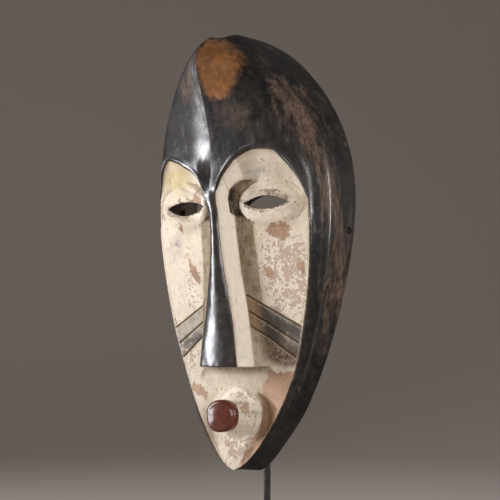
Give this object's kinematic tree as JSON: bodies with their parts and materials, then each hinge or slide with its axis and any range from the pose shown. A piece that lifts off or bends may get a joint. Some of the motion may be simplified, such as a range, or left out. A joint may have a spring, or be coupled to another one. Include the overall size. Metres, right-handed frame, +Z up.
{
  "type": "carved mask on stand",
  "caption": "Tall egg-shaped carved wooden face mask with slit eyes, a long nose and a knobbed mouth, hollow behind, held on a plain rod and foot plate.",
  "frame": {"origin": "middle of the underside of the foot plate", "axes": "+Z up along the rod, -Y the way the face looks, +X to the right of someone facing it"},
  "size_m": [0.2006, 0.1405, 0.5085],
  "materials": {
    "mask_wood": "worn paint over wood",
    "stand_steel": "satin black"
  },
  "bodies": {
    "root": {"mask": "mask_wood", "stand_rod": "stand_steel", "stand_base": "stand_steel"}
  },
  "joints": []
}
